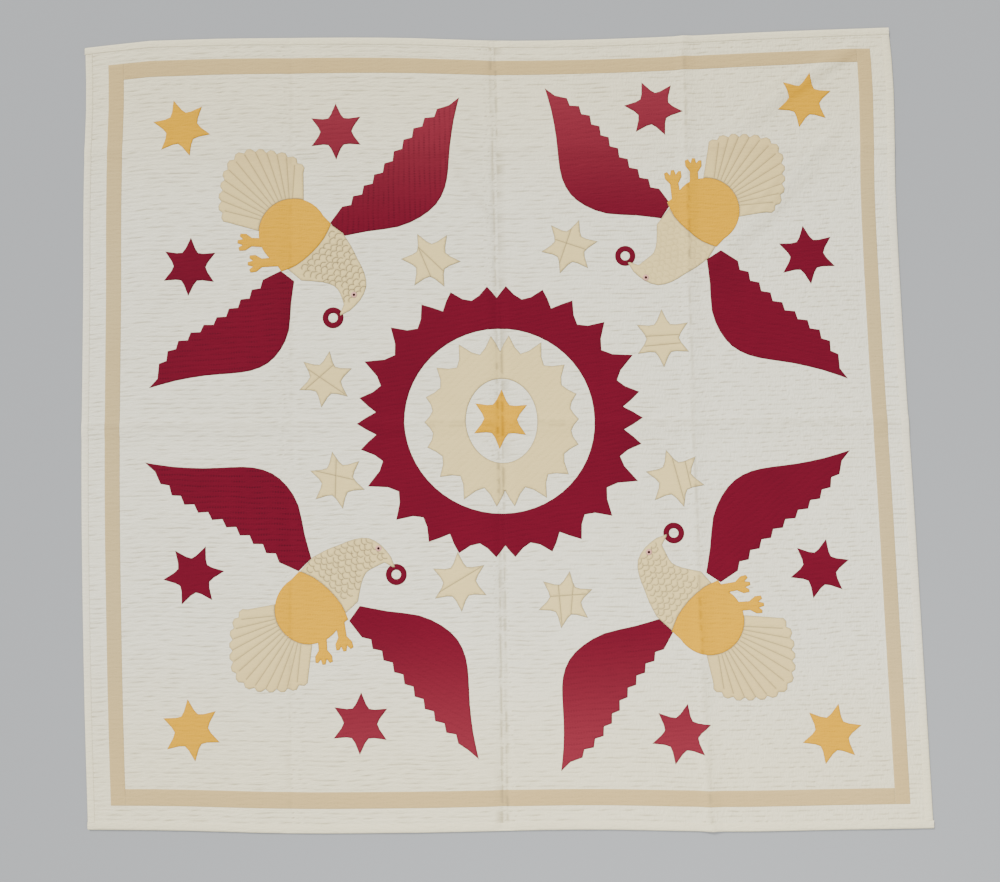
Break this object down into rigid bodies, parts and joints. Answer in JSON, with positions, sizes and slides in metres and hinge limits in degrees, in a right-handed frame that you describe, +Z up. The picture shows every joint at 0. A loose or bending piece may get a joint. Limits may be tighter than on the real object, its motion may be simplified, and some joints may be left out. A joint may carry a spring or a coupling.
{
  "type": "applique quilt",
  "caption": "Old off-white hand-quilted cotton bed quilt laid flat, with red and yellow eagles, a toothed ring, stars and a tan frame strip sewn on.",
  "frame": {"origin": "under the middle of the quilt's whole outline, on the surface it lies on", "axes": "+Z up out of the quilt's front, +X towards its right edge, +Y towards its top edge as pictured"},
  "size_m": [2.057, 1.9854, 0.0112],
  "materials": {
    "ground_cotton": "washed plain-weave cotton, matte",
    "binding_cotton": "washed plain-weave cotton, matte",
    "tan_cotton": "washed plain-weave cotton, matte",
    "red_cotton": "washed plain-weave cotton, matte",
    "yellow_cotton": "washed plain-weave cotton, matte"
  },
  "bodies": {
    "root": {"binding_bottom": "binding_cotton", "binding_left": "binding_cotton", "binding_right": "binding_cotton", "binding_top": "binding_cotton", "eagle_bottom_left_beak_ring": "red_cotton", "eagle_bottom_left_body": "yellow_cotton", "eagle_bottom_left_head": "tan_cotton", "eagle_bottom_left_left_wing": "red_cotton", "eagle_bottom_left_right_wing": "red_cotton", "eagle_bottom_left_tail": "tan_cotton", "eagle_bottom_right_beak_ring": "red_cotton", "eagle_bottom_right_body": "yellow_cotton", "eagle_bottom_right_head": "tan_cotton", "eagle_bottom_right_left_wing": "red_cotton", "eagle_bottom_right_right_wing": "red_cotton", "eagle_bottom_right_tail": "tan_cotton", "eagle_top_left_beak_ring": "red_cotton", "eagle_top_left_body": "yellow_cotton", "eagle_top_left_head": "tan_cotton", "eagle_top_left_left_wing": "red_cotton", "eagle_top_left_right_wing": "red_cotton", "eagle_top_left_tail": "tan_cotton", "eagle_top_right_beak_ring": "red_cotton", "eagle_top_right_body": "yellow_cotton", "eagle_top_right_head": "tan_cotton", "eagle_top_right_left_wing": "red_cotton", "eagle_top_right_right_wing": "red_cotton", "eagle_top_right_tail": "tan_cotton", "frame_bottom": "tan_cotton", "frame_left": "tan_cotton", "frame_right": "tan_cotton", "frame_top": "tan_cotton", "quilt_body": "ground_cotton", "ring_red": "red_cotton", "ring_tan": "tan_cotton", "star_centre": "yellow_cotton", "star_red_1": "red_cotton", "star_red_2": "red_cotton", "star_red_3": "red_cotton", "star_red_4": "red_cotton", "star_red_5": "red_cotton", "star_red_6": "red_cotton", "star_red_7": "red_cotton", "star_red_8": "red_cotton", "star_tan_1": "tan_cotton", "star_tan_2": "tan_cotton", "star_tan_3": "tan_cotton", "star_tan_4": "tan_cotton", "star_tan_5": "tan_cotton", "star_tan_6": "tan_cotton", "star_tan_7": "tan_cotton", "star_tan_8": "tan_cotton", "star_yellow_1": "yellow_cotton", "star_yellow_2": "yellow_cotton", "star_yellow_3": "yellow_cotton", "star_yellow_4": "yellow_cotton"}
  },
  "joints": []
}
